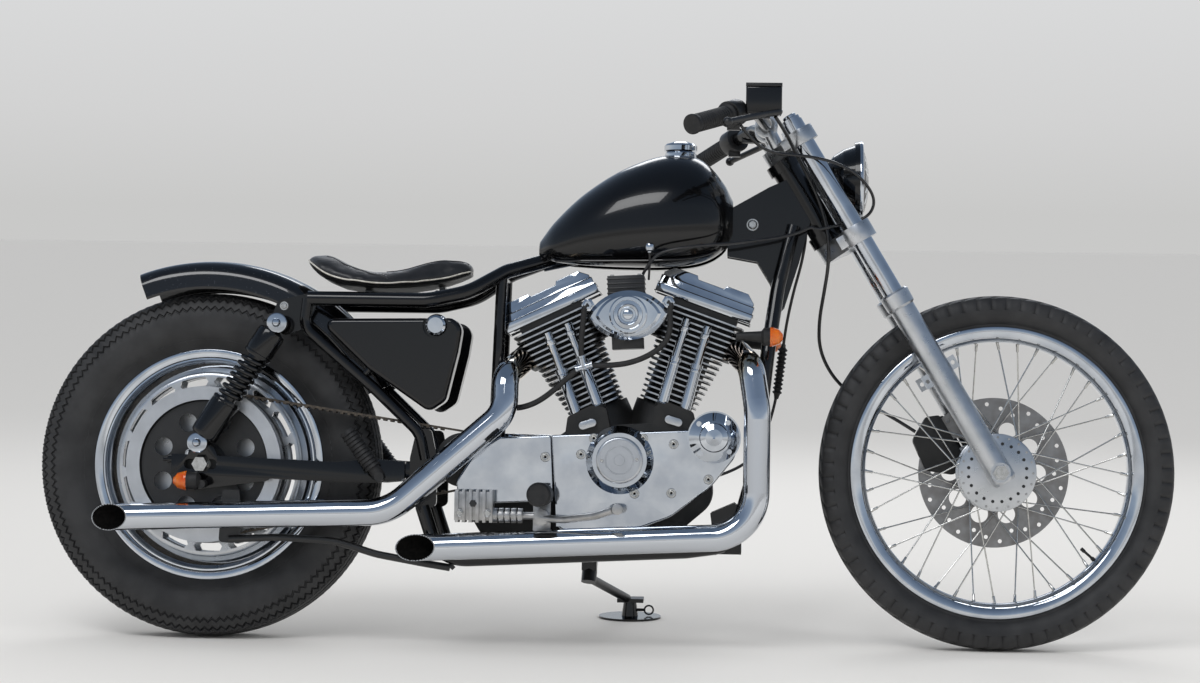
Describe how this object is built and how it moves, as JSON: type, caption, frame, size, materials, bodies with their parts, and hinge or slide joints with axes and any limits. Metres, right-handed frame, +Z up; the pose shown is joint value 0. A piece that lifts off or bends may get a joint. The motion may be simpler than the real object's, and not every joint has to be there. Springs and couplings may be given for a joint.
{
  "type": "cruiser motorcycle",
  "caption": "Low cruiser motorcycle with an air-cooled V-twin, wire-spoked front wheel, belt drive and turning steering, parked on its side stand.",
  "frame": {"origin": "middle of the footprint of the whole motorcycle, on the floor", "axes": "+X from the rear wheel to the front wheel, +Y to the rider's left, +Z up; the machine leans 5 degrees to +Y on its side stand"},
  "size_m": [2.1997, 0.7379, 1.0804],
  "materials": {
    "black_enamel": "gloss",
    "black_wrinkle": "satin",
    "black_steel": "semi-gloss",
    "zinc_steel": "satin",
    "chrome": "polished",
    "chrome_pipe": "polished",
    "chrome_rim": "polished",
    "satin_aluminium": "satin",
    "cast_aluminium": "cast",
    "disc_steel": "brushed",
    "black_leather": "satin",
    "black_rubber": "matte",
    "belt_rubber": "matte",
    "black_cable": "satin",
    "amber_lens": "gloss",
    "lamp_glass": "clear",
    "tyre_rubber": "matte"
  },
  "bodies": {
    "root": {"frame": "black_enamel", "swing_arm": "black_enamel", "rear_axle": "zinc_steel", "shocks": "black_steel", "rear_fender": "black_enamel", "seat": "black_leather", "oil_tank": "black_enamel", "side_cover": "black_enamel", "fuel_tank": "black_enamel", "filler_caps": "chrome", "crankcase": "black_wrinkle", "cylinders": "black_wrinkle", "rocker_covers": "chrome", "pushrods": "chrome", "cam_cover": "chrome", "timer_cover": "chrome", "round_cover": "chrome", "sprocket_cover": "chrome", "primary_cover": "chrome", "air_cleaner": "chrome", "carburettor": "black_wrinkle", "exhaust_front": "chrome_pipe", "exhaust_rear": "chrome_pipe", "foot_controls": "cast_aluminium", "rider_pegs": "black_rubber", "passenger_pegs": "black_rubber", "rear_caliper": "cast_aluminium", "belt_guard": "black_enamel", "drive_belt": "belt_rubber", "signals": "amber_lens", "frame_cables": "black_cable"},
    "rear_wheel": {"rear_tyre": "tyre_rubber", "rear_wheel": "chrome_rim", "rear_pulley": "cast_aluminium", "rear_disc": "disc_steel"},
    "steering": {"yokes": "satin_aluminium", "fork_tubes": "chrome", "fork_sliders": "satin_aluminium", "front_axle": "zinc_steel", "front_caliper": "black_wrinkle", "handlebar": "black_enamel", "grips": "black_rubber", "bar_controls": "black_wrinkle", "levers": "black_steel", "headlamp": "black_enamel", "headlamp_lens": "lamp_glass", "bar_cables": "black_cable"},
    "front_wheel": {"front_tyre": "tyre_rubber", "front_wheel": "chrome_rim", "front_disc": "disc_steel"},
    "side_stand": {"side_stand": "black_steel", "stand_plate": "chrome"}
  },
  "joints": [
    {"name": "rear_wheel_spin", "type": "hinge", "parent": "root", "child": "rear_wheel", "pos_m": [-0.766, -0.05599, 0.33323], "axis": [0, 0.9962, -0.0872], "continuous": true},
    {"name": "steering_turn", "type": "hinge", "parent": "root", "child": "steering", "pos_m": [0.4412, -0.01811, 0.76616], "axis": [-0.518, 0.0745, 0.8521], "range_deg": [-36, 36]},
    {"name": "front_wheel_spin", "type": "hinge", "parent": "steering", "child": "front_wheel", "pos_m": [0.758, -0.05529, 0.3412], "axis": [0, 0.9962, -0.0872], "continuous": true},
    {"name": "side_stand_fold", "type": "hinge", "parent": "root", "child": "side_stand", "pos_m": [-0.031, 0.06675, 0.12976], "axis": [0.0652, 0.375, 0.9247], "range_deg": [0, 96]}
  ]
}
